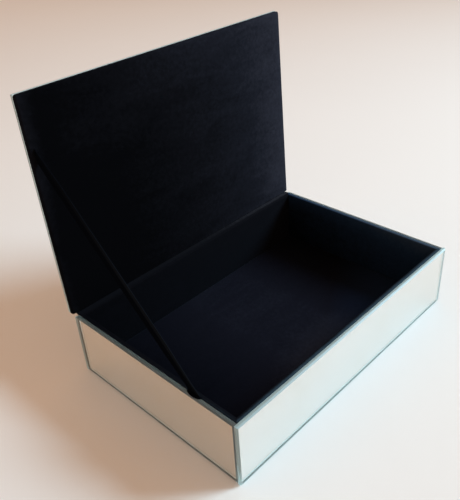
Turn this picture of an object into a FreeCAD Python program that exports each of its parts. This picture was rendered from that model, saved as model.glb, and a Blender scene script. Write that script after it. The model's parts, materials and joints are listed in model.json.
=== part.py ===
import FreeCAD, Part
import math
import os

# A mirrored jewelry box with its lid open, in millimetres.
# The origin is the centre of the underside. +X runs along the hinge, +Y to the back, +Z up.

V = FreeCAD.Vector

# Overall sizes
box_width = 240.0  # along the hinge, over the glass
box_depth = 160.0  # front to back, over the glass
wall_height = 52.0  # table to the velvet on the wall tops
lid_lean = 2.5  # degrees past upright at which the ribbon stops the lid

# Sheet thicknesses
glass_thickness = 3.0
wall_board_thickness = 2.4
base_board_thickness = 4.0
lid_board_thickness = 3.0
velvet_thickness = 0.8
felt_thickness = 1.0
tape_thickness = 0.5

# Glass panels
glass_bevel = 1.0  # ground round the outer face
glass_arris = 0.4  # ground round the silvered face
glass_foot_gap = 1.0  # lower edge above the table
glass_top_drop = 0.3  # upper edge below the velvet beside it

# Joinery of the boards
rebate_depth = 1.2  # how far side boards and base board are let into the walls

# Linings, pad and felt
wall_fold_radius = 1.0  # velvet rolled over the inner edge of a wall top
lid_roll_radius = 1.0  # velvet rolled over the edge of the lid
floor_pad_thickness = 4.0
floor_pad_clearance = 0.2
floor_pad_edge_radius = 1.5
felt_inset = 1.0
felt_corner_radius = 4.0

# Cloth hinge
lid_gap = 0.4  # between the velvet of lid and walls when closed
lid_leaf_width = 12.0  # tape glued under the lid lining
fold_end_gap = 0.12  # between the two leaves at the fold, along the arc

# Ribbon stay
ribbon_width = 7.0
ribbon_thickness = 0.4
ribbon_reach = 122.0  # from the hinge to either end
ribbon_tail = 14.0  # glued length at either end
ribbon_clearance = 0.05  # round the ribbon in its slots

# Places that follow from the sizes above
half_x = box_width / 2
half_y = box_depth / 2
board_x = half_x - glass_thickness
board_y = half_y - glass_thickness
inner_x = board_x - wall_board_thickness
inner_y = board_y - wall_board_thickness
base_board_top = felt_thickness + base_board_thickness
board_top = wall_height - velvet_thickness
back_board_top = board_top - tape_thickness
glass_top = wall_height - glass_top_drop
axis_y = half_y
axis_z = wall_height + lid_gap / 2
lid_face = wall_height + lid_gap
lid_board_bottom = lid_face + velvet_thickness
lid_glass_bottom = lid_board_bottom + lid_board_thickness
lid_top = lid_glass_bottom + glass_thickness
fold_inner_radius = axis_z - board_top
fold_outer_radius = fold_inner_radius + tape_thickness
ribbon_slot = ribbon_thickness + 2 * ribbon_clearance
ribbon_x = -board_x + ribbon_slot / 2
ribbon_lid_z = lid_board_bottom + ribbon_slot / 2

axis_point = V(0, axis_y, axis_z)
lid_turn = FreeCAD.Rotation(V(1, 0, 0), -(90 + lid_lean))


def block(low, high):
    """A plain box between two corners."""
    low, high = V(*low), V(*high)
    size = high - low
    return Part.makeBox(size.x, size.y, size.z, low)


def prism(points, direction):
    """A flat outline pushed along a direction."""
    outline = Part.makePolygon(points + points[:1])
    return Part.Face(outline).extrude(direction)


def edges_where(shape, test):
    """The edges whose middle point passes a test."""
    return [edge for edge in shape.Edges if test(edge.CenterOfMass)]


def swing_open(shape):
    """A lid piece, modelled closed, turned about the hinge to its open place."""
    opened = shape.copy()
    opened.rotate(axis_point, V(1, 0, 0), -(90 + lid_lean))
    return opened


def swung(point):
    """A point of the closed lid, at its open place."""
    return axis_point + lid_turn.multVec(point - axis_point)


def glass_panel(low, high, outward):
    """A mirror panel, bevelled round its outer face and eased round the silvered one."""
    panel = block(low, high)
    middle = panel.CenterOfMass
    face = glass_thickness / 2 - 0.01
    outer = edges_where(panel, lambda p: (p - middle).dot(outward) > face)
    panel = panel.makeChamfer(glass_bevel, outer)
    inner = edges_where(panel, lambda p: (p - middle).dot(outward) < -face)
    return panel.makeChamfer(glass_arris, inner)


def base_felt():
    """Felt under the boards, a little inside their outline."""
    x = board_x - felt_inset
    y = board_y - felt_inset
    sheet = block((-x, -y, 0), (x, y, felt_thickness))
    corners = edges_where(sheet, lambda p: abs(abs(p.x) - x) < 0.01 and abs(abs(p.y) - y) < 0.01)
    return sheet.makeFillet(felt_corner_radius, corners)


def base_board():
    """Bottom board, let into the rebates of all four walls."""
    x = inner_x + rebate_depth
    y = inner_y + rebate_depth
    return block((-x, -y, felt_thickness), (x, y, base_board_top))


def side_board_blank(side):
    """A side wall before its rebates: side is -1 for the left and 1 for the right."""
    xs = sorted((side * inner_x, side * board_x))
    y = inner_y + rebate_depth
    return block((xs[0], -y, felt_thickness), (xs[1], y, board_top))


def side_board(side):
    """A side wall, rebated for the base board and lowered where the hinge tape crosses it."""
    return side_board_blank(side).cut([base_board(), hinge_tape_wall_leaf()])


def end_board(side, top):
    """Front (-1) or back (1) wall, rebated for the base board and both side boards."""
    ys = sorted((side * inner_y, side * board_y))
    blank = block((-board_x, ys[0], felt_thickness), (board_x, ys[1], top))
    return blank.cut([base_board(), side_board_blank(-1), side_board_blank(1)])


def end_mirror(side, top):
    """Front (-1) or back (1) mirror, which covers the ends of the side mirrors."""
    ys = sorted((side * board_y, side * half_y))
    return glass_panel((-half_x, ys[0], glass_foot_gap), (half_x, ys[1], top), V(0, side, 0))


def side_mirror(side):
    """Left (-1) or right (1) mirror, between the front and back ones."""
    xs = sorted((side * board_x, side * half_x))
    return glass_panel((xs[0], -board_y, glass_foot_gap), (xs[1], board_y, glass_top), V(side, 0, 0))


def wall_lining(half_run, inner, outer, lip_end, turn):
    """Velvet up the inner face of a wall and folded over its top, mitred at both corners.

    It is drawn on the front wall and turned about Z. The distances are from the centre:
    inner and outer faces of the board, and the outer edge of the folded lip.
    """
    face = velvet_thickness - inner
    roll = wall_fold_radius
    lean_in = roll * (1 - math.sqrt(0.5))
    start = -half_run
    foot_back = V(start, -inner, base_board_top)
    foot_front = V(start, face, base_board_top)
    roll_start = V(start, face, wall_height - roll)
    roll_middle = V(start, face - lean_in, wall_height - lean_in)
    roll_end = V(start, face - roll, wall_height)
    lip_top = V(start, -lip_end, wall_height)
    lip_under = V(start, -lip_end, board_top)
    board_edge = V(start, -inner, board_top)
    profile = Part.Wire([
        Part.makeLine(foot_back, foot_front),
        Part.makeLine(foot_front, roll_start),
        Part.Arc(roll_start, roll_middle, roll_end).toShape(),
        Part.makeLine(roll_end, lip_top),
        Part.makeLine(lip_top, lip_under),
        Part.makeLine(lip_under, board_edge),
        Part.makeLine(board_edge, foot_back),
    ])
    sheet = Part.Face(profile).extrude(V(2 * half_run, 0, 0))
    past = lip_end - outer + velvet_thickness
    inside = outer - inner + 2 * velvet_thickness
    mitre = prism([
        V(-half_run - past, -outer - past, 0),
        V(half_run + past, -outer - past, 0),
        V(half_run - inside, -outer + inside, 0),
        V(-half_run + inside, -outer + inside, 0),
    ], V(0, 0, 2 * wall_height))
    lining = sheet.common(mitre)
    lining.rotate(V(0, 0, 0), V(0, 0, 1), turn)
    return lining


def floor_pad():
    """Velvet-covered pad on the base board, with soft upper edges and corners."""
    x = inner_x - velvet_thickness - floor_pad_clearance
    y = inner_y - velvet_thickness - floor_pad_clearance
    top = base_board_top + floor_pad_thickness
    pad = block((-x, -y, base_board_top), (x, y, top))
    soft = edges_where(pad, lambda p: p.z > base_board_top + 0.01)
    return pad.makeFillet(floor_pad_edge_radius, soft)


def hinge_tape_wall_leaf():
    """Cloth tape across the top of the back wall, and the fold that rises behind the glass."""
    end = -math.radians(lid_lean) - fold_end_gap / fold_inner_radius
    middle = (end - math.pi / 2) / 2

    def on_fold(radius, angle):
        return V(-board_x, axis_y + radius * math.cos(angle), axis_z + radius * math.sin(angle))

    under_edge = V(-board_x, inner_y, back_board_top)
    under_fold = on_fold(fold_outer_radius, -math.pi / 2)
    outer_end = on_fold(fold_outer_radius, end)
    inner_end = on_fold(fold_inner_radius, end)
    upper_fold = on_fold(fold_inner_radius, -math.pi / 2)
    upper_edge = V(-board_x, inner_y, board_top)
    profile = Part.Wire([
        Part.makeLine(under_edge, under_fold),
        Part.Arc(under_fold, on_fold(fold_outer_radius, middle), outer_end).toShape(),
        Part.makeLine(outer_end, inner_end),
        Part.Arc(inner_end, on_fold(fold_inner_radius, middle), upper_fold).toShape(),
        Part.makeLine(upper_fold, upper_edge),
        Part.makeLine(upper_edge, under_edge),
    ])
    return Part.Face(profile).extrude(V(2 * board_x, 0, 0))


def lid_leaf_closed():
    """Cloth tape in its rebate on the lid board, from the fold forwards."""
    low = (-board_x, axis_y - lid_leaf_width, lid_board_bottom)
    return block(low, (board_x, axis_y, lid_board_bottom + tape_thickness))


def lid_board_blank():
    """The lid's core, inside the velvet that is rolled over three of its edges."""
    low = (velvet_thickness - half_x, velvet_thickness - half_y, lid_board_bottom)
    return block(low, (half_x - velvet_thickness, half_y, lid_glass_bottom))


def lid_board():
    """The core, rebated for the tape leaf and for the ribbon's tail."""
    return swing_open(lid_board_blank().cut(lid_leaf_closed())).cut(ribbon_room())


def lid_mirror():
    """Mirror over the whole lid, flush with the walls when closed."""
    low = (-half_x, -half_y, lid_glass_bottom)
    return swing_open(glass_panel(low, (half_x, half_y, lid_top), V(0, 0, 1)))


def lid_lining():
    """Velvet over the lid's inner face, rolled round its free edges up to the glass."""
    wrap = block((-half_x, -half_y, lid_face), (half_x, half_y, lid_glass_bottom))

    def rolled(p):
        at_side = abs(abs(p.x) - half_x) < 0.01
        at_front = abs(p.y + half_y) < 0.01
        on_face = abs(p.z - lid_face) < 0.01
        return (on_face and (at_side or at_front)) or (at_side and at_front)

    wrap = wrap.makeFillet(lid_roll_radius, edges_where(wrap, rolled))
    return swing_open(wrap.cut(lid_board_blank())).cut(ribbon_room())


def ribbon(width, thickness, tail):
    """A flat ribbon, straight from its slot in the left wall up to the lid.

    Its plane is upright. At the lid it is creased and its tail lies flat against the board.
    """
    wall_end = V(ribbon_x - thickness / 2, axis_y - ribbon_reach, wall_height)
    lid_end = swung(V(wall_end.x, wall_end.y, ribbon_lid_z))
    along = (lid_end - wall_end).normalize()
    across = V(0, -along.z, along.y) * (width / 2)
    start = wall_end - along * tail
    finish = lid_end + along * (2 * width)
    strip = prism([start - across, finish - across, finish + across, start + across], V(thickness, 0, 0))
    crease_z = ribbon_lid_z + thickness / 2
    past_lid = 4 * width
    beyond_low = (-half_x, wall_end.y - past_lid, crease_z)
    beyond_high = (half_x, wall_end.y + past_lid, crease_z + past_lid)
    strip = strip.cut(swing_open(block(beyond_low, beyond_high)))

    into_lid = along.dot(lid_turn.multVec(V(0, 0, 1)))
    up_lid = along.dot(lid_turn.multVec(V(0, -1, 0)))
    crease = V(0, width / 2 / into_lid, 0)
    crease_middle = V(wall_end.x, wall_end.y, ribbon_lid_z - thickness / 2)
    run = V(into_lid, -up_lid, 0) * (tail + thickness / 2 / into_lid)
    corners = [crease_middle - crease, crease_middle + crease]
    corners += [corner + run for corner in reversed(corners)]
    flap = prism(corners, V(0, 0, thickness))
    return strip.fuse(swing_open(flap)).removeSplitter()


def stay_ribbon():
    """The ribbon itself."""
    return ribbon(ribbon_width, ribbon_thickness, ribbon_tail)


def ribbon_room():
    """The ribbon with its clearance, for the slots that it lies in."""
    return ribbon(ribbon_width + 2 * ribbon_clearance, ribbon_slot, ribbon_tail + ribbon_clearance)


nodes = {
    "base_felt": base_felt(),
    "base_board": base_board(),
    "front_wall_board": end_board(-1, board_top),
    "back_wall_board": end_board(1, back_board_top),
    "left_wall_board": side_board(-1).cut(ribbon_room()),
    "right_wall_board": side_board(1),
    "front_mirror": end_mirror(-1, glass_top),
    "back_mirror": end_mirror(1, back_board_top),
    "left_mirror": side_mirror(-1),
    "right_mirror": side_mirror(1),
    "front_lining": wall_lining(board_x, inner_y, board_y, board_y, 0),
    "right_lining": wall_lining(board_y, inner_x, board_x, board_x, 90),
    "back_lining": wall_lining(board_x, inner_y, board_y, half_y, 180),
    "left_lining": wall_lining(board_y, inner_x, board_x, board_x, 270).cut(ribbon_room()),
    "floor_pad": floor_pad(),
    "lid_board": lid_board(),
    "lid_mirror": lid_mirror(),
    "lid_lining": lid_lining(),
    "hinge_tape_wall_leaf": hinge_tape_wall_leaf(),
    "hinge_tape_lid_leaf": swing_open(lid_leaf_closed()),
    "stay_ribbon": stay_ribbon(),
}

os.makedirs("parts", exist_ok=True)
for name, shape in nodes.items():
    shape.exportStep(f"parts/{name}.step")
    print(name, "solids", len(shape.Solids), "volume", round(shape.Volume, 2), "valid", shape.isValid())
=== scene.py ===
import json
import math

import bmesh
import bpy
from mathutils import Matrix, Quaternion, Vector, noise


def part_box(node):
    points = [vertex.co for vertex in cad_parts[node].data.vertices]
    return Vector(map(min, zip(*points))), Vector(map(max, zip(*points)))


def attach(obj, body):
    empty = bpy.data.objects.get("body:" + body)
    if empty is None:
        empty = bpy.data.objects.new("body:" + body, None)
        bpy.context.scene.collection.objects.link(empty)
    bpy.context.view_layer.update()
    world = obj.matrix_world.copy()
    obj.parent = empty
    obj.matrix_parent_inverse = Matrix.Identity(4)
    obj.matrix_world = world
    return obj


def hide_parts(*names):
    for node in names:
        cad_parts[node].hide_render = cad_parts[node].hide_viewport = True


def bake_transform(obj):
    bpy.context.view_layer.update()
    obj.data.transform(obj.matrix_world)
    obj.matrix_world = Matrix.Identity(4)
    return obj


# A mirrored jewelry box with its lid open, dressed round its fixed construction, in metres.
# +X runs along the hinge, +Y to the back and +Z up, from the centre of the underside.

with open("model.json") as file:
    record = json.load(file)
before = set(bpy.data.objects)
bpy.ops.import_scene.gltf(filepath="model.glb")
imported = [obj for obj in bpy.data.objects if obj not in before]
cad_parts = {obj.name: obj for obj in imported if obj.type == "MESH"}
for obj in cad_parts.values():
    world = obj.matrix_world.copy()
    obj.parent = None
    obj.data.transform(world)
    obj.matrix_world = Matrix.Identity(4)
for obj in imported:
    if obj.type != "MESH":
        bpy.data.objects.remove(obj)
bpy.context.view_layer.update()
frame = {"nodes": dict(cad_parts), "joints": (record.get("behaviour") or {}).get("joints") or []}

mm = 0.001

# Camera, fitted to the photograph
camera_place = Vector((-291.4, -260.4, 332.3)) * mm
camera_target = Vector((14.1, 53.6, 50.0)) * mm
camera_roll = math.radians(-3.93)
camera_lens = 46.09  # in millimetres, as a lens is given

# Light
key_azimuth = math.radians(-36)  # from +X towards the front
key_elevation = math.radians(33)
key_distance = 3.0
key_aim = Vector((-32, -150, 0)) * mm
key_size = 1.3
key_spread = math.radians(76)
key_power = 20.2
key_colour = (0.58, 0.845, 1.0)
fill_colour = (1.0, 0.66, 0.46)
fill_strength = 0.59
backdrop_colour = (0.86, 0.83, 0.80)
floor_colour = (0.90, 0.885, 0.865)
floor_radius = 1.8
floor_patch = 0.35  # size of its faint unevenness

# Cloth, silver and glass
sharp_angle = math.radians(40)  # edges that turn more than this are shaded as creases
wall_velvet_thickness = 0.78 * mm
lid_velvet_thickness = 0.5 * mm
tape_thickness = 0.5 * mm
ribbon_thickness = 0.4 * mm
silver_thickness = 0.03 * mm
silver_inset = 0.45 * mm
silver_foot = 1.0 * mm  # bare glass below the silver
silver_corner_radius = 0.3 * mm
silver_levels = ((0.0, silver_thickness), (0.0, 2 * silver_thickness))
wide_frost = 0.35  # how far the ground edges of the front, back and lid glass are frosted
side_frost = 0.06
roll_steps = 6  # faces round a rolled edge
wall_spacing = 3.0 * mm  # of the grid up and along a wall
shelf_spacing = 1.2 * mm  # of the grid across a wall top
slab_spacing = 4.0 * mm  # of the grid on the lid lining and the pad
wall_roll = 1.1 * mm  # velvet rolled over the inner edge of a wall top
wall_hollow = 14 * mm  # width and depth of the faint hollows in a cloth
wall_hollow_depth = 0.12 * mm
rim_highlight_start = 0.3 * mm  # past the inner face, where the painted highlight along a rim begins
lid_roll_width = 4.2 * mm  # padded edge of the lid lining
lid_roll_depth = 1.1 * mm
lid_corner_power = 5.0  # higher is squarer
lid_hollow = 22 * mm
lid_hollow_depth = 0.14 * mm
lid_layer = 0.3  # layer of the noise that its hollows come from
pad_roll_width = 2.2 * mm
pad_roll_depth = 1.8 * mm
pad_corner_power = 3.0
pad_crown = 0.45 * mm
pad_draw_in = 0.35 * mm  # of its sides between the corners
pad_hollow = 30 * mm
pad_hollow_depth = 0.12 * mm
pad_layer = 0.7
felt_corner_radius = 4.0 * mm
felt_softness = 0.3 * mm

# Velvet shades from the darkest to the lightest; the lighter shades are painted light and glare,
# standing in for how light falls on each cloth
front_shades = ((0.0022, 0.0022, 0.0030), (0.0055, 0.0064, 0.0092), (0.034, 0.062, 0.088))
left_shades = ((0.0022, 0.0022, 0.0030), (0.0055, 0.0064, 0.0092), (0.020, 0.037, 0.052))
# The right wall's lighter, blue shades are painted glare
right_shades = ((0.0018, 0.0026, 0.0042), (0.0140, 0.0340, 0.0780), (0.050, 0.080, 0.120))
back_shades = (
    (0.0022, 0.0023, 0.0030), (0.0040, 0.0043, 0.0060), (0.0050, 0.0054, 0.0075),
    (0.0080, 0.0084, 0.0110), (0.0340, 0.0355, 0.0440),
)
lid_shades = (
    (0.0019, 0.0020, 0.0026), (0.0045, 0.0048, 0.0066), (0.0100, 0.0112, 0.0165), (0.024, 0.026, 0.037),
)
pad_shades = (
    (0.0018, 0.0020, 0.0032), (0.0046, 0.0050, 0.0085), (0.0074, 0.0080, 0.0134), (0.020, 0.023, 0.036),
)
# Painted blue glare over the front right of the pad
pad_glare_colour = (0.0070, 0.0135, 0.0300)

# Ribbon stay
ribbon_width = 7.0 * mm
ribbon_reach = 122.0 * mm  # from the hinge to either end
ribbon_tail = 14.0 * mm
ribbon_slack = 0.05 * mm  # between the ribbon and the board it is glued to
ribbon_tilt = math.radians(10)  # upper edge leaning into the box
ribbon_curl = 0.5 * mm
ribbon_inset = 0.45 * mm  # the free length hangs this far inside its ends
ribbon_sag = 0.9 * mm
foot_ease = (4 * mm, 40 * mm)  # from the wall, where the ribbon comes loose
crease_ease = (2 * mm, 30 * mm)  # from the lid
fold_reach = 2.5 * mm  # of the ribbon's fold over the top of the glass
fold_length = 12.5 * mm
fold_thickness = 0.24 * mm
fold_start = 0.6 * mm  # from the outer face of the ribbon
fold_lift = 0.03 * mm  # above the velvet and the glass
fold_drop = (0.2 * mm, 1.4 * mm)  # past the velvet, where it comes down to the glass
fold_tip = 0.03  # how blunt its ends are
fold_hollow = 3 * mm
fold_hollow_depth = 0.06 * mm
fold_layer = 0.2

# Places read from the frame
hinge = frame["joints"][0]
hinge_point = Vector(hinge["pos_m"])
open_angle = math.radians(hinge["range_deg"][1])
lid_lean = open_angle - math.pi / 2
lid_up = Vector((0, math.sin(lid_lean), math.cos(lid_lean)))
lid_back = Vector((0, math.cos(lid_lean), -math.sin(lid_lean)))
along_x = Vector((1, 0, 0))
along_y = Vector((0, 1, 0))
along_z = Vector((0, 0, 1))


def reach(name, direction):
    """The least and the most that a node's points lie along a direction from the hinge."""
    places = [(vertex.co - hinge_point).dot(direction) for vertex in frame["nodes"][name].data.vertices]
    return min(places), max(places)


lid_length = reach("lid_mirror", lid_up)[1]
lid_face = reach("lid_lining", lid_back)[0]
lid_board_face = reach("lid_board", lid_back)[0]
lid_glass_face = reach("lid_mirror", lid_back)[0]
tape_leaf = reach("hinge_tape_lid_leaf", lid_up)[1]


def lid_point(x, up, back):
    """A point of the open lid: across, up from the hinge line, and behind the hinge plane."""
    return hinge_point + along_x * x + lid_up * up + lid_back * back


def smooth_step(low, high, value):
    """0 below low, 1 above high and smooth between."""
    share = min(1.0, max(0.0, (value - low) / (high - low)))
    return share * share * (3 - 2 * share)


def ripple(point, size, depth):
    """A smooth uneven height with hollows about size across."""
    return depth * noise.noise(point / size)


# Meshes

def mesh_object(name, build, material):
    """A new smooth-shaded object from the bmesh that build fills, with creases at its cut edges."""
    bm = bmesh.new()
    build(bm)
    bm.edges.index_update()
    cut_edges = [edge.index for edge in bm.edges if edge.is_boundary]
    mesh = bpy.data.meshes.new(name)
    bm.to_mesh(mesh)
    bm.free()
    mesh.shade_smooth()
    mesh.set_sharp_from_angle(angle=sharp_angle)
    for index in cut_edges:
        mesh.edges[index].use_edge_sharp = True
    piece = bpy.data.objects.new(name, mesh)
    bpy.context.scene.collection.objects.link(piece)
    mesh.materials.append(material)
    return piece


def fill_grid(bm, rows):
    """Quads between the rows of points, with a UV map in metres along both ways of the grid."""
    verts = [[bm.verts.new(point) for point in row] for row in rows]
    uv_layer = bm.loops.layers.uv.new("metres")
    middle = len(rows) // 2
    run = [0.0]
    for before, after in zip(rows[middle], rows[middle][1:]):
        run.append(run[-1] + (after - before).length)
    rise = [0.0]
    for before, after in zip(rows, rows[1:]):
        rise.append(rise[-1] + (after[len(run) // 2] - before[len(run) // 2]).length)
    for i in range(len(rows) - 1):
        for j in range(len(run) - 1):
            corners = [(i, j), (i, j + 1), (i + 1, j + 1), (i + 1, j)]
            face = bm.faces.new([verts[a][b] for a, b in corners])
            for loop, (a, b) in zip(face.loops, corners):
                loop[uv_layer].uv = (run[b], rise[a])


def thicken(piece, thickness, offset, even=True):
    """Cloth thickness: offset -1 grows behind the faces and 0 to both sides.

    Even keeps the thickness round a bend, and is left off where a bend is tight.
    """
    solid = piece.modifiers.new("thickness", "SOLIDIFY")
    solid.thickness = thickness
    solid.offset = offset
    solid.use_even_offset = even
    solid.use_quality_normals = True


def stations(low, high, spacing, wrap_low, wrap_high, flange):
    """Grid lines along one side of a soft slab, as (flat place, share of the roll, depth past it)."""
    flange_steps = 3
    count = max(1, round((high - low) / spacing))
    lines = [(low + (high - low) * i / count, 0.0, 0.0) for i in range(count + 1)]
    over = [(math.sin(math.pi / 2 * i / roll_steps), 0.0) for i in range(1, roll_steps + 1)]
    over += [(1.0, flange * i / flange_steps) for i in range(1, flange_steps + 1)]
    if wrap_high:
        lines = lines + [(high, share, depth) for share, depth in over]
    if wrap_low:
        lines = [(low, -share, depth) for share, depth in reversed(over)] + lines
    return lines


def soft_slab(bm, columns, rows, roll_width, roll_depth, power, place):
    """A sheet that rolls over the edges of a slab and runs down its sides, with rounded corners."""
    def point(column, row):
        a, share_a, depth_a = column
        b, share_b, depth_b = row
        rolled = (abs(share_a) ** power + abs(share_b) ** power) ** (1 / power)
        limit = max(1.0, rolled)
        rolled = min(1.0, rolled)
        drop = roll_depth * (1 - math.sqrt(1 - rolled * rolled))
        past = max(depth_a, depth_b)
        return place(a + roll_width * share_a / limit, b + roll_width * share_b / limit, drop + past)

    fill_grid(bm, [[point(column, row) for column in columns] for row in rows])
    bmesh.ops.remove_doubles(bm, verts=bm.verts, dist=0.01 * mm)
    bmesh.ops.dissolve_degenerate(bm, edges=bm.edges, dist=0.005 * mm)


def rounded_outline(half_a, half_b, radius, steps):
    """A rectangle with round corners, as flat points in order."""
    points = []
    for corner in range(4):
        sign_a = (1, -1, -1, 1)[corner]
        sign_b = (1, 1, -1, -1)[corner]
        for i in range(steps + 1):
            angle = math.pi / 2 * (corner + i / steps)
            points.append((
                sign_a * (half_a - radius) + radius * math.cos(angle),
                sign_b * (half_b - radius) + radius * math.sin(angle),
            ))
    return points


def plate(bm, half_a, half_b, radius, levels, place):
    """A flat plate lofted through (inset, height) levels, closed at both faces."""
    corner_steps = 8
    least_radius = 0.1 * mm
    loops = []
    for inset, height in levels:
        corner_radius = max(radius - inset, least_radius)
        outline = rounded_outline(half_a - inset, half_b - inset, corner_radius, corner_steps)
        loops.append([bm.verts.new(place(a, b, height)) for a, b in outline])
    count = len(loops[0])
    for lower, upper in zip(loops, loops[1:]):
        for i in range(count):
            j = (i + 1) % count
            bm.faces.new([lower[i], lower[j], upper[j], upper[i]])
    bm.faces.new(loops[-1])
    bm.faces.new(list(reversed(loops[0])))
    bmesh.ops.recalc_face_normals(bm, faces=bm.faces)


# Material nodes

def new_material(name):
    """A material with a plain Principled shader: (material, node tree, shader)."""
    material = bpy.data.materials.new(name)
    material.use_nodes = True
    tree = material.node_tree
    return material, tree, tree.nodes["Principled BSDF"]


def node(tree, kind, sockets=None, **settings):
    """A new node with its settings; a socket takes a plain value or another node's output."""
    made = tree.nodes.new(kind)
    for name, setting in settings.items():
        setattr(made, name, setting)
    for name, value in (sockets or {}).items():
        if isinstance(value, bpy.types.NodeSocket):
            tree.links.new(value, made.inputs[name])
        else:
            made.inputs[name].default_value = value
    return made


def object_place(tree, stretch=(1, 1, 1)):
    """The point on the object at rest, stretched along its axes."""
    coordinates = node(tree, "ShaderNodeTexCoord").outputs["Object"]
    if tuple(stretch) == (1, 1, 1):
        return coordinates
    return node(tree, "ShaderNodeMapping", {"Vector": coordinates, "Scale": stretch}).outputs["Vector"]


def cloudy(tree, place, size, detail=3.0, roughness=0.55, distortion=0.0):
    """Noise between 0 and 1 with lumps about size across."""
    return node(tree, "ShaderNodeTexNoise", {
        "Vector": place, "Scale": 1 / size, "Detail": detail,
        "Roughness": roughness, "Distortion": distortion,
    }).outputs["Fac"]


def ramp(tree, value, low, high, at_low=0.0, at_high=1.0):
    """value mapped from low..high to at_low..at_high and held there."""
    return node(tree, "ShaderNodeMapRange", {
        "Value": value, "From Min": low, "From Max": high, "To Min": at_low, "To Max": at_high,
    }).outputs["Result"]


def blend_colours(tree, share, first, second):
    """A colour between two colours."""
    mix = node(tree, "ShaderNodeMix", data_type="RGBA")
    for index, value in ((0, share), (6, first), (7, second)):
        if isinstance(value, bpy.types.NodeSocket):
            tree.links.new(value, mix.inputs[index])
        else:
            mix.inputs[index].default_value = value if index == 0 else (*value, 1.0)
    return mix.outputs[2]


def colour_steps(tree, share, colours):
    """A colour that runs through the colours, evenly spaced from 0 to 1."""
    steps = node(tree, "ShaderNodeValToRGB", {"Fac": share})
    stops = steps.color_ramp.elements
    while len(stops) < len(colours):
        stops.new(0.5)
    for i, colour in enumerate(colours):
        stops[i].position = i / (len(colours) - 1)
        stops[i].color = (*colour, 1.0)
    return steps.outputs["Color"]


def combine(tree, first, second, operation="ADD"):
    """A sum, product or other plain operation on two values."""
    return node(tree, "ShaderNodeMath", {0: first, 1: second}, operation=operation).outputs["Value"]


def weighted(tree, first, first_weight, second, second_weight):
    """The sum of two values, each times its weight."""
    first_part = combine(tree, first, first_weight, "MULTIPLY")
    second_part = combine(tree, second, second_weight, "MULTIPLY")
    return combine(tree, first_part, second_part)


def bump(tree, height, distance, strength):
    """A normal from a height that spans distance metres."""
    return node(tree, "ShaderNodeBump", {
        "Height": height, "Distance": distance, "Strength": strength,
    }).outputs["Normal"]


def distance_along(tree, place, direction):
    """How far a point lies along a direction from the origin."""
    product = node(tree, "ShaderNodeVectorMath", {0: place, 1: direction}, operation="DOT_PRODUCT")
    return product.outputs["Value"]


def velvet(name, shades, base, *painted_light, uneven=0.09, painted_glare=None):
    """Short black pile: tufts, clumps that lean together and strokes.

    Its colour is a share of its shades, 0 the darkest and 1 the lightest: the base, give or take how
    uneven it is, and what each painted light or shade adds along its direction, as (direction, low,
    high, gain).
    Where a painted glare is given, as (colour, direction, low, high), it goes to that colour along a
    direction.
    """
    material, tree, shader = new_material(name)
    place = object_place(tree)
    tufts = cloudy(tree, place, 0.45 * mm, detail=2)
    clumps = cloudy(tree, place, 3.0 * mm, detail=4)
    strokes = cloudy(tree, object_place(tree, (0.3, 1.0, 1.0)), 16 * mm, detail=5, distortion=1.0)
    lean = weighted(tree, clumps, 0.5, strokes, 0.5)
    share = ramp(tree, lean, 0.3, 0.7, base - uneven, base + uneven)
    share = combine(tree, share, ramp(tree, tufts, 0.25, 0.75, -0.10, 0.10))
    # Painted light and shade: each adds a lighter or darker share along its direction, for how light
    # and glare fall
    for direction, low, high, gain in painted_light:
        along = distance_along(tree, place, direction)
        share = combine(tree, share, ramp(tree, along, low, high, 0.0, gain))
    colour = colour_steps(tree, share, shades)
    # Painted glare: the colour turns towards the glare colour along a direction
    if painted_glare:
        glare_colour, direction, low, high = painted_glare
        along = distance_along(tree, place, direction)
        colour = blend_colours(tree, ramp(tree, along, low, high), colour, glare_colour)
    tree.links.new(colour, shader.inputs["Base Color"])
    tree.links.new(ramp(tree, lean, 0.3, 0.7, 0.95, 0.82), shader.inputs["Roughness"])
    height = weighted(tree, tufts, 0.6, clumps, 0.4)
    tree.links.new(bump(tree, height, 0.25 * mm, 0.6), shader.inputs["Normal"])
    shader.inputs["Specular IOR Level"].default_value = 0.0
    shader.inputs["Sheen Weight"].default_value = 0.03
    shader.inputs["Sheen Roughness"].default_value = 0.4
    shader.inputs["Sheen Tint"].default_value = (0.55, 0.70, 0.95, 1.0)
    return material


def mirror_glass(name, facing, frost):
    """Clear float glass with a faint green body, polished faces and ground, frosted edges."""
    material, tree, shader = new_material(name)
    place = object_place(tree)
    normal = node(tree, "ShaderNodeTexCoord").outputs["Normal"]
    towards = distance_along(tree, normal, facing)
    polished = ramp(tree, combine(tree, towards, 0.0, "ABSOLUTE"), 0.85, 0.97)
    smears = ramp(tree, cloudy(tree, place, 35 * mm, detail=4, distortion=0.8), 0.45, 0.75, 0.004, 0.03)
    grinding = ramp(tree, cloudy(tree, place, 0.5 * mm, detail=2), 0.3, 0.7, 0.28, 0.42)
    rough = node(tree, "ShaderNodeMix", {0: polished, 2: grinding, 3: smears}, data_type="FLOAT")
    tree.links.new(rough.outputs[0], shader.inputs["Roughness"])
    tint = blend_colours(tree, polished, (0.70, 0.93, 0.95), (0.985, 0.99, 0.985))
    tree.links.new(tint, shader.inputs["Base Color"])
    tree.links.new(ramp(tree, polished, 0.0, 1.0, 1 - frost, 1.0), shader.inputs["Transmission Weight"])
    shader.inputs["IOR"].default_value = 1.52
    body = node(tree, "ShaderNodeVolumeAbsorption", {"Color": (0.35, 0.93, 0.80, 1.0), "Density": 3.5})
    tree.links.new(body.outputs["Volume"], tree.nodes["Material Output"].inputs["Volume"])
    return material


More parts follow.
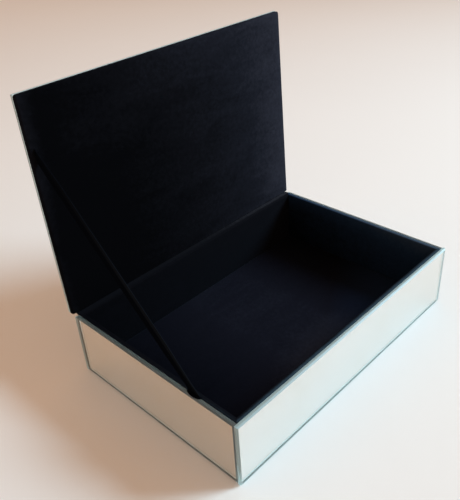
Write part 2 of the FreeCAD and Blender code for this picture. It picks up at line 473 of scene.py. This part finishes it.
def silver(name):
    """The silvering behind the glass, with a breath of tarnish."""
    material, tree, shader = new_material(name)
    place = object_place(tree)
    tarnish = ramp(tree, cloudy(tree, place, 40 * mm, detail=5), 0.45, 0.8)
    colour = blend_colours(tree, tarnish, (0.955, 0.965, 0.955), (0.93, 0.93, 0.90))
    tree.links.new(colour, shader.inputs["Base Color"])
    tree.links.new(ramp(tree, tarnish, 0.0, 1.0, 0.012, 0.04), shader.inputs["Roughness"])
    shader.inputs["Metallic"].default_value = 1.0
    return material


def fibreboard(name):
    """Pressed fibres stained black, so that no pale board shows beside the glass."""
    material, tree, shader = new_material(name)
    place = object_place(tree)
    fibres = cloudy(tree, object_place(tree, (0.25, 1.0, 1.0)), 0.5 * mm, detail=4)
    blotches = cloudy(tree, place, 9 * mm, detail=4)
    tone = weighted(tree, fibres, 0.6, blotches, 0.4)
    stain = ramp(tree, tone, 0.35, 0.65)
    colour = blend_colours(tree, stain, (0.010, 0.008, 0.007), (0.034, 0.028, 0.024))
    tree.links.new(colour, shader.inputs["Base Color"])
    shader.inputs["Roughness"].default_value = 0.85
    tree.links.new(bump(tree, fibres, 0.15 * mm, 0.5), shader.inputs["Normal"])
    return material


def felt(name):
    """Thin matted felt: crossed fibres and small pills."""
    material, tree, shader = new_material(name)
    place = object_place(tree)
    fibres_x = cloudy(tree, object_place(tree, (0.12, 1, 1)), 0.4 * mm, detail=3, distortion=1.0)
    fibres_y = cloudy(tree, object_place(tree, (1, 0.12, 1)), 0.4 * mm, detail=3, distortion=1.0)
    mat = combine(tree, fibres_x, fibres_y, "MAXIMUM")
    pills = cloudy(tree, place, 2.5 * mm, detail=3)
    tone = weighted(tree, mat, 0.7, pills, 0.3)
    paler = ramp(tree, tone, 0.4, 0.7)
    colour = blend_colours(tree, paler, (0.006, 0.006, 0.007), (0.026, 0.026, 0.029))
    tree.links.new(colour, shader.inputs["Base Color"])
    shader.inputs["Roughness"].default_value = 0.95
    shader.inputs["Sheen Weight"].default_value = 0.15
    shader.inputs["Sheen Roughness"].default_value = 0.5
    tree.links.new(bump(tree, tone, 0.3 * mm, 0.7), shader.inputs["Normal"])
    return material


def threads(tree, place, axis, pitch):
    """Rounded threads side by side along one axis of the UV map, as a height from 0 to 1."""
    return node(tree, "ShaderNodeTexWave", {
        "Vector": place, "Scale": math.pi / 10 / pitch, "Distortion": 0.0,
    }, wave_type="BANDS", bands_direction=axis, wave_profile="SIN").outputs["Fac"]


def woven(name, warp_pitch, weft_pitch, dark, light, gloss, sheen, lit_edge=None):
    """Woven black cloth: fine warp over ribs of weft, uneven from thread to thread.

    Where the painted edge highlight is given, as (colour, span across, span along), one edge goes to
    that colour over the span across, and less so over the span along, standing in for light caught
    along that edge.
    """
    material, tree, shader = new_material(name)
    place = node(tree, "ShaderNodeUVMap", uv_map="metres").outputs["UV"]
    warp = threads(tree, place, "X", warp_pitch)
    weft = threads(tree, place, "Y", weft_pitch)
    height = weighted(tree, warp, 0.4, weft, 0.6)
    uneven = cloudy(tree, place, 1.5 * mm, detail=3)
    tone = weighted(tree, height, 0.6, uneven, 0.5)
    colour = blend_colours(tree, ramp(tree, tone, 0.2, 0.9), dark, light)
    # Painted highlight: one edge lighter where light catches it, fading along the length
    if lit_edge:
        lit_edge_colour, span_across, span_along = lit_edge
        ways = node(tree, "ShaderNodeSeparateXYZ", {"Vector": place}).outputs
        edge_highlight = ramp(tree, ways["X"], *span_across)
        highlight_fade = ramp(tree, ways["Y"], *span_along, 1.0, 0.15)
        colour = blend_colours(tree, combine(tree, edge_highlight, highlight_fade, "MULTIPLY"), colour, lit_edge_colour)
    tree.links.new(colour, shader.inputs["Base Color"])
    tree.links.new(ramp(tree, uneven, 0.3, 0.7, 0.5, 0.68), shader.inputs["Roughness"])
    tree.links.new(bump(tree, height, 0.12 * mm, 0.6), shader.inputs["Normal"])
    shader.inputs["Specular IOR Level"].default_value = gloss
    shader.inputs["Sheen Weight"].default_value = sheen
    shader.inputs["Sheen Roughness"].default_value = 0.3
    return material


def pale_floor(name):
    """Plain pale floor with a faint unevenness."""
    material, tree, shader = new_material(name)
    uneven = cloudy(tree, object_place(tree), floor_patch, detail=3)
    darker = tuple(0.97 * channel for channel in floor_colour)
    tree.links.new(blend_colours(tree, uneven, darker, floor_colour), shader.inputs["Base Color"])
    shader.inputs["Roughness"].default_value = 0.9
    shader.inputs["Specular IOR Level"].default_value = 0.1
    return material


# Pieces

def settle(piece, body, slot, *nodes):
    """The piece rides on a body and stands for the nodes, which it hides; the finish slot is not used.
    """
    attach(piece, body)
    if nodes:
        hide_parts(*nodes)


def dress_node(name, material):
    """A node of the construction keeps its shape and gets a finish."""
    for slot in frame["nodes"][name].material_slots:
        slot.material = material


def wall_velvet(name, lining, outward, other_face, half_run, material):
    """Velvet up the inner face of a wall, rolled over the top and mitred at both corners."""
    low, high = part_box(lining)
    along = along_z.cross(outward)
    face, lip = sorted((abs(low.dot(outward)), abs(high.dot(outward))))
    foot, top = low.z, high.z
    profile = []
    rise = max(2, round((top - wall_roll - foot) / wall_spacing))
    for i in range(rise + 1):
        profile.append((face, foot + (top - wall_roll - foot) * i / rise))
    for i in range(1, roll_steps + 1):
        angle = math.pi / 2 * i / roll_steps
        distance = face + wall_roll * (1 - math.cos(angle))
        profile.append((distance, top - wall_roll * (1 - math.sin(angle))))
    shelf = max(2, round((lip - face - wall_roll) / shelf_spacing))
    for i in range(1, shelf + 1):
        profile.append((face + wall_roll + (lip - face - wall_roll) * i / shelf, top))
    columns = round(2 * half_run / wall_spacing)

    def point(share, distance, height):
        run = min(half_run, other_face + distance - face)
        flat = outward * distance + along * (share * run) + along_z * height
        sink = abs(ripple(flat, wall_hollow, wall_hollow_depth))
        on_top = smooth_step(face, face + wall_roll, distance)
        return flat + outward * (sink * (1 - on_top)) - along_z * (sink * on_top)

    rows = [[point(1 - 2 * j / columns, d, z) for j in range(columns + 1)] for d, z in profile]
    piece = mesh_object(name, lambda bm: fill_grid(bm, rows), material)
    thicken(piece, wall_velvet_thickness, -1)
    settle(piece, "base", "black_velvet", lining)


def lid_velvet(material):
    """Velvet over the lid's inner face, with soft edges, three of them rolled round to the glass."""
    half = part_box("lid_mirror")[1].x
    flange = lid_glass_face - lid_face - lid_roll_depth
    flat_half = half - lid_roll_width
    columns = stations(-flat_half, flat_half, slab_spacing, True, True, flange)
    rows = stations(0.0, lid_length - lid_roll_width, slab_spacing, False, True, flange)

    def place(x, up, depth):
        sink = 0.0
        if depth < lid_roll_depth:
            sink = abs(ripple(Vector((x, up, lid_layer)), lid_hollow, lid_hollow_depth))
        return lid_point(x, up, lid_face + depth + sink)

    piece = mesh_object("lid_velvet", lambda bm: soft_slab(
        bm, columns, rows, lid_roll_width, lid_roll_depth, lid_corner_power, place,
    ), material)
    thicken(piece, lid_velvet_thickness, -1)
    settle(piece, "lid", "black_velvet", "lid_lining")


def tray_pad(material):
    """Velvet-covered pad in the bottom of the tray, crowned, its sides drawn in between the corners."""
    low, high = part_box("floor_pad")
    flange = high.z - low.z - pad_roll_depth
    flat_x = high.x - pad_roll_width
    flat_y = high.y - pad_roll_width
    columns = stations(-flat_x, flat_x, slab_spacing, True, True, flange)
    rows = stations(-flat_y, flat_y, slab_spacing, True, True, flange)

    def place(x, y, depth):
        middle_x = 1 - (x / high.x) ** 2
        middle_y = 1 - (y / high.y) ** 2
        crown = pad_crown * middle_x * middle_y
        fade_x = min(1.0, 4 * middle_x)
        fade_y = min(1.0, 4 * middle_y)
        uneven = ripple(Vector((x, y, pad_layer)), pad_hollow, pad_hollow_depth) * fade_x * fade_y
        share = 1 - depth / (high.z - low.z)
        return Vector((
            x - math.copysign(pad_draw_in, x) * middle_y * smooth_step(0.8, 1.0, abs(x) / high.x),
            y - math.copysign(pad_draw_in, y) * middle_x * smooth_step(0.8, 1.0, abs(y) / high.y),
            high.z - depth + (crown + uneven) * share,
        ))

    def build(bm):
        soft_slab(bm, columns, rows, pad_roll_width, pad_roll_depth, pad_corner_power, place)
        rim = [edge for edge in bm.edges if edge.is_boundary]
        bmesh.ops.edgeloop_fill(bm, edges=rim)
        bmesh.ops.recalc_face_normals(bm, faces=bm.faces)

    piece = mesh_object("tray_floor_pad", build, material)
    settle(piece, "base", "black_velvet", "floor_pad")


def underside_felt(material):
    """Felt under the boards, soft at its cut edge."""
    low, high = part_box("base_felt")
    thickness = high.z - low.z
    levels = [
        (felt_softness, 0.0),
        (0.3 * felt_softness, 0.2 * thickness),
        (0.0, 0.5 * thickness),
        (0.3 * felt_softness, 0.8 * thickness),
        (felt_softness, thickness),
    ]
    piece = mesh_object("underside_felt", lambda bm: plate(
        bm, high.x, high.y, felt_corner_radius, levels, lambda a, b, h: Vector((a, b, low.z + h)),
    ), material)
    settle(piece, "base", "black_felt", "base_felt")


def silvering(name, mirror, outward, material):
    """The silver layer just inside the back face of a base mirror."""
    low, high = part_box(mirror)
    centre = (low + high) / 2
    half = (high - low) / 2
    along = along_z.cross(outward)
    half_thickness = abs(half.dot(outward))
    lift = (silver_foot - silver_inset) / 2
    back_face = centre - outward * half_thickness + along_z * lift
    piece = mesh_object(name, lambda bm: plate(
        bm, abs(half.dot(along)) - silver_inset, half.z - silver_inset - lift,
        silver_corner_radius, silver_levels,
        lambda a, b, h: back_face + along * a + along_z * b + outward * h,
    ), material)
    settle(piece, "base", "mirror_glass")


def lid_silvering(material):
    """The silver layer just inside the back face of the lid's mirror."""
    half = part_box("lid_mirror")[1].x - silver_inset
    piece = mesh_object("lid_silvering", lambda bm: plate(
        bm, half, lid_length / 2 - silver_inset, silver_corner_radius, silver_levels,
        lambda a, b, h: lid_point(a, lid_length / 2 + b, lid_glass_face + h),
    ), material)
    settle(piece, "lid", "mirror_glass")


def hinge_cloth(material):
    """The cloth hinge in one length: over the back wall, round the fold and up under the lid lining."""
    low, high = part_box("hinge_tape_wall_leaf")
    half = high.x
    radius = hinge_point.z - low.z - tape_thickness / 2
    wall_steps = 5
    fold_steps = 10
    lid_steps = 6
    start = Vector((0, hinge_point.y, hinge_point.z - radius))
    end = lid_point(0, 0, radius)
    section = []
    for i in range(wall_steps):
        section.append(Vector((0, low.y + (start.y - low.y) * i / wall_steps, start.z)))
    for i in range(fold_steps + 1):
        angle = -math.pi / 2 + (math.pi / 2 - lid_lean) * i / fold_steps
        section.append(hinge_point + Vector((0, radius * math.cos(angle), radius * math.sin(angle))))
    for i in range(1, lid_steps + 1):
        section.append(end + lid_up * (tape_leaf * i / lid_steps))
    columns = 60
    rows = [[p + along_x * (half * (2 * j / columns - 1)) for j in range(columns + 1)] for p in section]
    piece = mesh_object("hinge_cloth", lambda bm: fill_grid(bm, rows), material)
    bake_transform(piece)
    thicken(piece, tape_thickness, 0)
    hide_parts("hinge_tape_wall_leaf", "hinge_tape_lid_leaf")


def stay_strap(material):
    """The ribbon that stops the lid, tilted and curled along its length."""
    wall_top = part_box("left_lining")[1].z
    plane_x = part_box("stay_ribbon")[0].x + ribbon_thickness / 2
    glued = lid_board_face + ribbon_slack + ribbon_thickness / 2
    wall_end = Vector((plane_x, hinge_point.y - ribbon_reach, wall_top))
    lid_end = lid_point(plane_x, ribbon_reach, glued)
    length = (lid_end - wall_end).length
    along = (lid_end - wall_end).normalized()
    across = Vector((0, -along.z, along.y))
    into_lid = along.dot(lid_back)
    up_lid = along.dot(lid_up)

    def free_point(distance, width):
        share = width / (ribbon_width / 2)
        loose = smooth_step(*foot_ease, distance) * smooth_step(*crease_ease, length - distance)
        tilt = ribbon_tilt * loose
        wide = across * math.cos(tilt) + along_x * math.sin(tilt)
        out = along_x * math.cos(tilt) - across * math.sin(tilt)
        curl = ribbon_curl * (share * share - 0.5)
        shift = out * curl + along_x * ribbon_inset - across * ribbon_sag
        return wall_end + along * distance + wide * width + shift * loose

    columns = 8
    free_rows = 90
    flap_rows = 4
    widths = [ribbon_width * (j / columns - 0.5) for j in range(columns + 1)]
    rows = []
    for i in range(free_rows + 1):
        row = []
        for width in widths:
            to_crease = length - width * across.dot(lid_back) / into_lid
            row.append(free_point(-ribbon_tail + (to_crease + ribbon_tail) * i / free_rows, width))
        rows.append(row)
    run = along_x * into_lid + lid_up * up_lid
    crease = rows[-1]
    for i in range(1, flap_rows + 1):
        rows.append([point + run * (ribbon_tail * i / flap_rows) for point in crease])
    piece = mesh_object("stay_strap", lambda bm: fill_grid(bm, rows), material)
    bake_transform(piece)
    thicken(piece, ribbon_thickness, 0, even=False)
    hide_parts("stay_ribbon")


def stay_fold(material):
    """The fold of the ribbon that lies over the top of the glass, beside the ribbon's foot."""
    glass_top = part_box("left_mirror")[1].z
    wall_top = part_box("left_lining")[1].z
    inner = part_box("stay_ribbon")[0].x + fold_start
    glass_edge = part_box("left_lining")[0].x
    foot_y = hinge_point.y - ribbon_reach
    length_steps = 14
    width_steps = 8
    rows = []
    for i in range(length_steps + 1):
        place = 2 * i / length_steps - 1
        outer = glass_edge - fold_reach * math.sqrt(max(fold_tip, 1 - place * place))
        row = []
        for j in range(width_steps + 1):
            x = inner + (outer - inner) * j / width_steps
            lowered = smooth_step(*fold_drop, glass_edge - x)
            swell = ripple(Vector((x, place * fold_length, fold_layer)), fold_hollow, fold_hollow_depth)
            height = wall_top + (glass_top - wall_top) * lowered + fold_thickness / 2 + fold_lift
            row.append(Vector((x, foot_y - place * fold_length / 2, height + abs(swell))))
        rows.append(row)
    piece = mesh_object("stay_fold", lambda bm: fill_grid(bm, rows), material)
    thicken(piece, fold_thickness, 0)
    settle(piece, "base", "black_ribbon")


def build_box():
    """Every piece of the box with its finish."""
    walls = {
        "front": -along_y,
        "back": along_y,
        "left": -along_x,
        "right": along_x,
    }
    board = fibreboard("fibreboard")
    for name in ("base_board", "lid_board", *(f"{side}_wall_board" for side in walls)):
        dress_node(name, board)

    silver_layer = silver("silver")
    for side, outward in walls.items():
        frost = wide_frost if side in ("front", "back") else side_frost
        dress_node(f"{side}_mirror", mirror_glass(f"{side}_mirror_glass", outward, frost))
        silvering(f"{side}_silvering", f"{side}_mirror", outward, silver_layer)
    dress_node("lid_mirror", mirror_glass("lid_mirror_glass", lid_back, wide_frost))
    lid_silvering(silver_layer)

    inner_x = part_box("right_lining")[0].x
    inner_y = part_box("back_lining")[0].y
    half_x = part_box("front_lining")[1].x
    half_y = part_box("right_lining")[1].y
    rim_highlight_x = inner_x + rim_highlight_start
    rim_highlight_y = inner_y + rim_highlight_start
    upward = Vector((0, -0.5, 0.87))
    upper_left = Vector((-0.4, 0, 1))
    front_right = Vector((0.5, -0.87, 0))
    # Painted light on the wall velvet: each cloth lighter towards the right or the front and along its
    # rim, where light and glare fall; the right wall also lighter towards its top, with painted blue
    # glare
    wall_cloths = {
        "front": velvet(
            "front_velvet", front_shades, 0.3,
            (along_x, -110 * mm, 110 * mm, 0.1),
            (-along_y, rim_highlight_y, inner_y + 2.5 * mm, 0.55),
        ),
        "back": velvet(
            "back_velvet", back_shades, 0.08,
            (along_x, -110 * mm, 110 * mm, 0.47),
            (along_y, rim_highlight_y, inner_y + 3.5 * mm, 0.35),
        ),
        "left": velvet(
            "left_velvet", left_shades, -0.05,
            (-along_y, -60 * mm, 70 * mm, 0.45),
            (-along_x, rim_highlight_x, inner_x + 2.5 * mm, 0.2),
        ),
        "right": velvet(
            "right_velvet", right_shades, 0.0,
            (upward, -20 * mm, 70 * mm, 0.5),
            (along_x, rim_highlight_x, inner_x + 2.0 * mm, 0.55),
            (along_z, 38 * mm, 50 * mm, 0.15),
        ),
    }
    for side, outward in walls.items():
        faces_y = abs(outward.y) > 0.5
        wall_velvet(
            f"{side}_wall_velvet", f"{side}_lining", outward,
            inner_x if faces_y else inner_y, half_x if faces_y else half_y, wall_cloths[side],
        )
    # Painted light on the lid velvet: lighter towards the right and more so at its right edge, a
    # painted highlight along its left edge, and lighter towards the top left
    lid_velvet(velvet(
        "lid_velvet", lid_shades, -0.3,
        (along_x, -110 * mm, 75 * mm, 0.92),
        (along_x, 75 * mm, 118 * mm, 0.33),
        (-along_x, 108 * mm, 119 * mm, 0.5),
        (upper_left, 165 * mm, 205 * mm, 0.24),
        uneven=0.17,
    ))
    # Painted light and shade on the pad velvet: lighter from the left to the middle and towards the
    # front, a painted shadow towards the right, and painted blue glare at the front right
    tray_pad(velvet(
        "pad_velvet", pad_shades, -0.08,
        (along_x, -120 * mm, -20 * mm, 0.75),
        (along_x, 35 * mm, 110 * mm, -0.62),
        (-along_y, 20 * mm, 70 * mm, 0.45),
        painted_glare=(pad_glare_colour, front_right, 42 * mm, 80 * mm),
    ))
    underside_felt(felt("felt"))
    hinge_cloth(woven(
        "tape_cloth", 0.5 * mm, 0.5 * mm, (0.0012, 0.0012, 0.0016), (0.0050, 0.0050, 0.0060),
        gloss=0.02, sheen=0.01,
    ))
    # Painted highlight along one edge of the ribbon, fading along its length
    ribbon_highlight_edge = (ribbon_width - 1.8 * mm, ribbon_width - 0.8 * mm)
    ribbon_highlight_fade = (90 * mm, 180 * mm)
    ribbon_cloth = woven(
        "ribbon_cloth", 0.25 * mm, 0.8 * mm, (0.0013, 0.0018, 0.0030), (0.0028, 0.0038, 0.0060),
        gloss=0.0, sheen=0.0, lit_edge=((0.0062, 0.0082, 0.0115), ribbon_highlight_edge, ribbon_highlight_fade),
    )
    stay_strap(ribbon_cloth)
    stay_fold(ribbon_cloth)


def build_stage():
    """A plain pale floor."""
    def build(bm):
        bmesh.ops.create_circle(bm, cap_ends=True, radius=floor_radius, segments=96)

    floor = mesh_object("floor", build, pale_floor("floor"))


def build_light():
    """A soft cool key from the right and a warm dim fill; the backdrop shows pale."""
    lamp = bpy.data.lights.new("key", "AREA")
    lamp.shape = "DISK"
    lamp.size = key_size
    lamp.spread = key_spread
    lamp.energy = key_power
    lamp.color = key_colour
    key = bpy.data.objects.new("key", lamp)
    towards = Vector((
        math.cos(key_azimuth) * math.cos(key_elevation),
        math.sin(key_azimuth) * math.cos(key_elevation),
        math.sin(key_elevation),
    ))
    key.location = towards * key_distance
    key.rotation_mode = "QUATERNION"
    key.rotation_quaternion = (key.location - key_aim).to_track_quat("Z", "Y")
    bpy.context.scene.collection.objects.link(key)

    world = bpy.data.worlds.new("studio")
    world.use_nodes = True
    bpy.context.scene.world = world
    tree = world.node_tree
    fill = tree.nodes["Background"]
    fill.inputs["Color"].default_value = (*fill_colour, 1.0)
    fill.inputs["Strength"].default_value = fill_strength
    shown = node(tree, "ShaderNodeBackground", {"Color": (*backdrop_colour, 1.0), "Strength": 1.0})
    path = node(tree, "ShaderNodeLightPath").outputs
    seen = combine(tree, path["Is Camera Ray"], path["Is Glossy Ray"], "MAXIMUM")
    seen = combine(tree, seen, path["Is Transmission Ray"], "MAXIMUM")
    mix = node(tree, "ShaderNodeMixShader", {0: seen, 1: fill.outputs[0], 2: shown.outputs[0]})
    tree.links.new(mix.outputs[0], tree.nodes["World Output"].inputs["Surface"])


def build_camera():
    """The photograph's viewpoint."""
    data = bpy.data.cameras.new("camera")
    data.lens = camera_lens
    data.clip_start = 0.01
    data.clip_end = 50
    camera = bpy.data.objects.new("camera", data)
    camera.location = camera_place
    camera.rotation_mode = "QUATERNION"
    aim = (camera_target - camera_place).to_track_quat("-Z", "Y")
    camera.rotation_quaternion = aim @ Quaternion((0, 0, 1), camera_roll)
    bpy.context.scene.collection.objects.link(camera)
    bpy.context.scene.camera = camera
    bpy.context.scene.view_settings.view_transform = "Standard"


build_box()
build_stage()
build_light()
build_camera()
